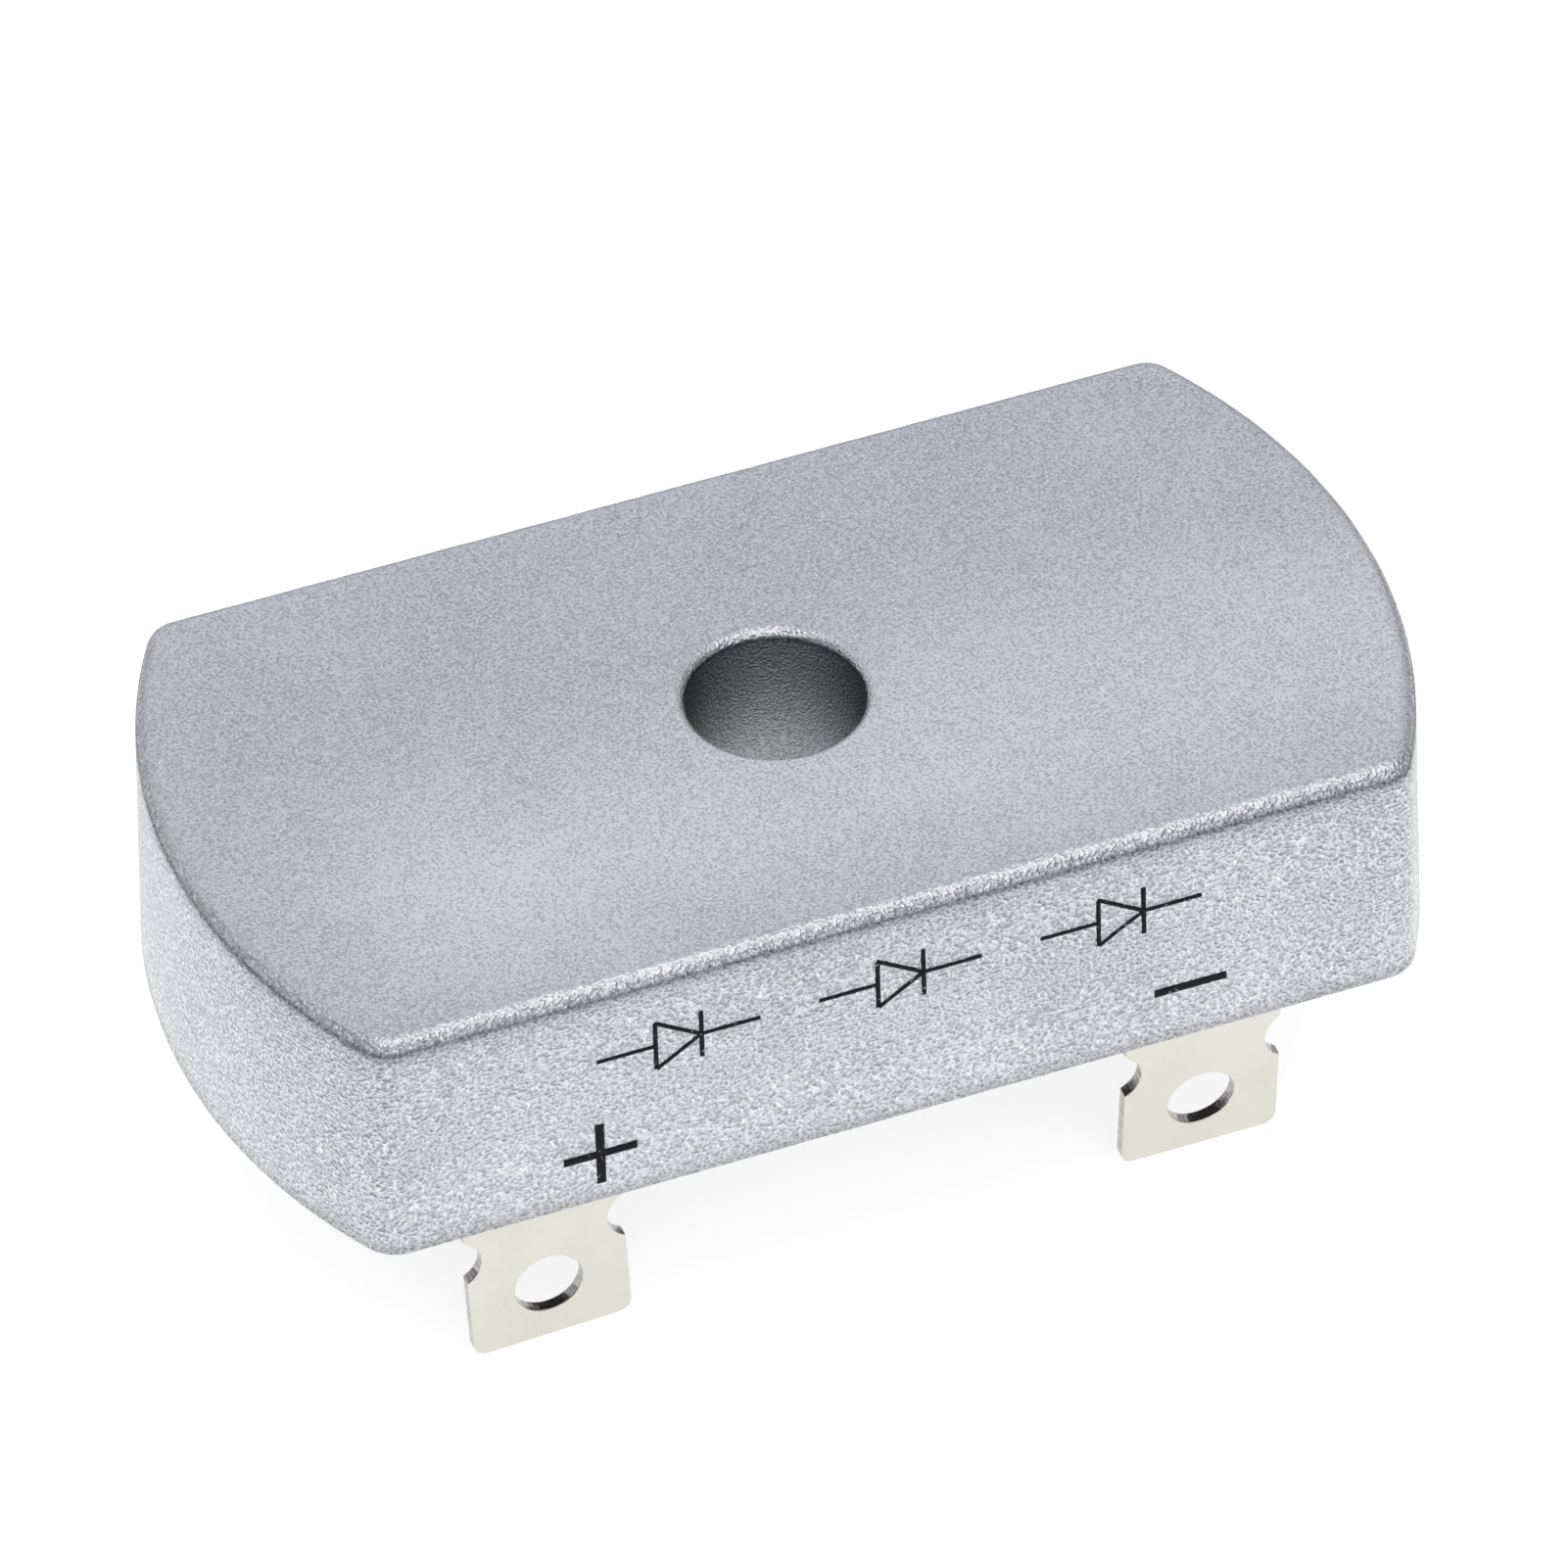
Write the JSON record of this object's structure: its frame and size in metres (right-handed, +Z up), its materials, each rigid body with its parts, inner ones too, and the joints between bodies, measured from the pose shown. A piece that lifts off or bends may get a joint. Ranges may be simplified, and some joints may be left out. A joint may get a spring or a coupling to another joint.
{
  "type": "three-phase bridge rectifier module",
  "caption": "Potted three-phase bridge rectifier in a round-ended cast aluminium case with a mounting bore and bladed screw terminals.",
  "frame": {"origin": "on the axis of the mounting bore, level with the terminal tips that the module stands on", "axes": "+X along the case towards the negative terminal, -Y out of the front side that carries the plus and minus signs, +Z up out of the heatsink face"},
  "size_m": [0.075, 0.04, 0.0305],
  "materials": {
    "cast_aluminium": "cast and blasted, matt",
    "epoxy": "poured epoxy, satin",
    "plated_strip": "tin-plated brass strip, satin",
    "copper": "bare rolled copper",
    "alumina": "fired alumina, matt",
    "silicon": "silicon die, glossy",
    "riser_metal": "nickel-plated copper disc"
  },
  "bodies": {
    "root": {"case": "cast_aluminium", "potting": "epoxy", "terminal_plus": "plated_strip", "terminal_minus": "plated_strip", "terminal_ac_1": "plated_strip", "terminal_ac_2": "plated_strip", "terminal_ac_3": "plated_strip", "plus_bus": "copper", "minus_bus": "copper", "copper_plate_1": "copper", "copper_plate_2": "copper", "copper_plate_3": "copper", "ceramic_tile_1": "alumina", "ceramic_tile_2": "alumina", "ceramic_tile_3": "alumina", "diode_die_1": "silicon", "diode_die_2": "silicon", "diode_die_3": "silicon", "diode_die_4": "silicon", "diode_die_5": "silicon", "diode_die_6": "silicon", "riser_disc_1": "riser_metal", "riser_disc_2": "riser_metal", "riser_disc_3": "riser_metal", "riser_disc_4": "riser_metal", "riser_disc_5": "riser_metal", "riser_disc_6": "riser_metal"}
  },
  "joints": []
}
